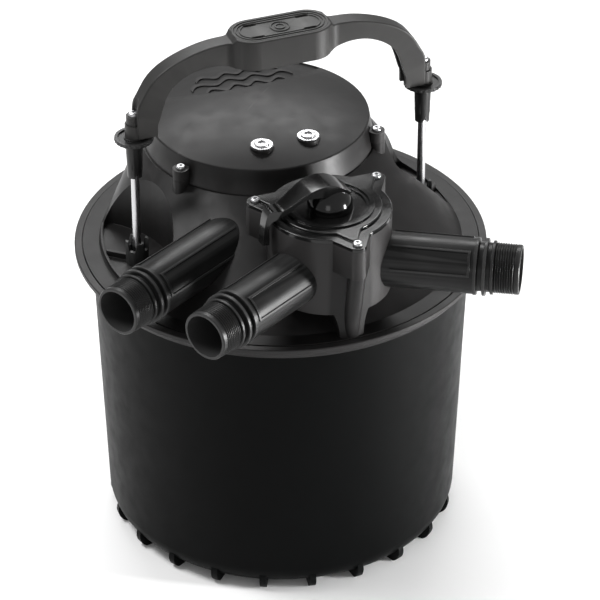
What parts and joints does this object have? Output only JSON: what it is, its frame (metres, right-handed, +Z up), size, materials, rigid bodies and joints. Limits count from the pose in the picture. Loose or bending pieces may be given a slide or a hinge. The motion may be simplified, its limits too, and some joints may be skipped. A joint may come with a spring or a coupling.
{
  "type": "canister filter",
  "caption": "Round pond pressure filter with a clamped lid, a push-down handle on steel rods, a rotary valve and threaded hose ports.",
  "frame": {"origin": "centre of the hub on the tub's underside, on the surface that the filter stands on", "axes": "+Z up, X along the handle, the hose ports and the valve towards -Y, the lamp cap towards +Y"},
  "size_m": [0.4201, 0.4536, 0.5352],
  "materials": {
    "tub_black": "satin black moulded polypropylene",
    "lid_black": "finely grained black plastic",
    "cover_black": "smooth glossy black plastic",
    "knob_black": "polished black plastic",
    "port_black": "satin black plastic",
    "handle_black": "finely grained dark grey plastic",
    "lock_black": "black plastic",
    "grip_black": "dull dark grey plastic",
    "steel": "bright drawn stainless steel",
    "screw_steel": "stainless steel",
    "seal_rubber": "soft black rubber",
    "glass": "clear quartz glass",
    "lamp_white": "white glass tubes on a white foot",
    "inner_grey": "plain grey plastic",
    "blue_foam": "coarse open-cell foam"
  },
  "bodies": {
    "canister": {"tub": "tub_black", "lid_gasket": "seal_rubber", "lower_grid": "inner_grey", "centre_tube": "inner_grey", "foam_disc_1": "blue_foam", "foam_disc_2": "blue_foam", "foam_disc_3": "blue_foam", "foam_disc_4": "blue_foam", "foam_disc_5": "blue_foam"},
    "lid": {"lid_shell": "lid_black", "clamp_ring": "lid_black", "latch_pin": "screw_steel", "lamp_cap": "lid_black", "cap_gasket": "seal_rubber", "cap_screws": "screw_steel", "face_screws": "steel", "cable_gland": "lock_black", "ballast_box": "inner_grey", "quartz_sleeve": "glass", "sleeve_seal": "seal_rubber", "sleeve_nut": "inner_grey", "uv_lamp": "lamp_white", "lamp_socket": "lamp_white", "valve_cover": "cover_black", "valve_cover_seal": "seal_rubber", "valve_screws": "screw_steel", "stem_seal": "seal_rubber", "left_port": "port_black", "middle_port": "port_black", "right_port": "port_black", "rod_glands": "lock_black", "rod_seals": "seal_rubber"},
    "latch": {"latch_lever": "handle_black"},
    "valve": {"valve_knob": "knob_black", "valve_rotor": "inner_grey"},
    "handle": {"handle_bar": "handle_black", "handle_screws": "screw_steel", "foot_pad": "grip_black", "push_rods": "steel", "plate_nuts": "screw_steel", "press_plate": "inner_grey"},
    "left_lock": {"left_lock_sleeve": "lock_black"},
    "right_lock": {"right_lock_sleeve": "lock_black"}
  },
  "joints": [
    {"name": "lid_lift", "type": "slide", "parent": "canister", "child": "lid", "axis": [0, 0, 1], "range_m": [0, 0.26]},
    {"name": "handle_push", "type": "slide", "parent": "lid", "child": "handle", "axis": [0, 0, -1], "range_m": [0, 0.08], "deforming": ["foam_disc_1", "foam_disc_2", "foam_disc_3", "foam_disc_4", "foam_disc_5"]},
    {"name": "left_lock_turn", "type": "hinge", "parent": "handle", "child": "left_lock", "pos_m": [-0.1465, 0, 0.403], "axis": [0, 0, 1], "range_deg": [0, 90]},
    {"name": "right_lock_turn", "type": "hinge", "parent": "handle", "child": "right_lock", "pos_m": [0.1465, 0, 0.403], "axis": [0, 0, 1], "range_deg": [0, 90]},
    {"name": "valve_turn", "type": "hinge", "parent": "lid", "child": "valve", "pos_m": [0, -0.13, 0.36], "axis": [0, 0, 1], "range_deg": [0, 55]},
    {"name": "latch_open", "type": "hinge", "parent": "lid", "child": "latch", "pos_m": [-0.02143, 0.20388, 0.298], "axis": [0, 0, 1], "range_deg": [0, 100]}
  ]
}
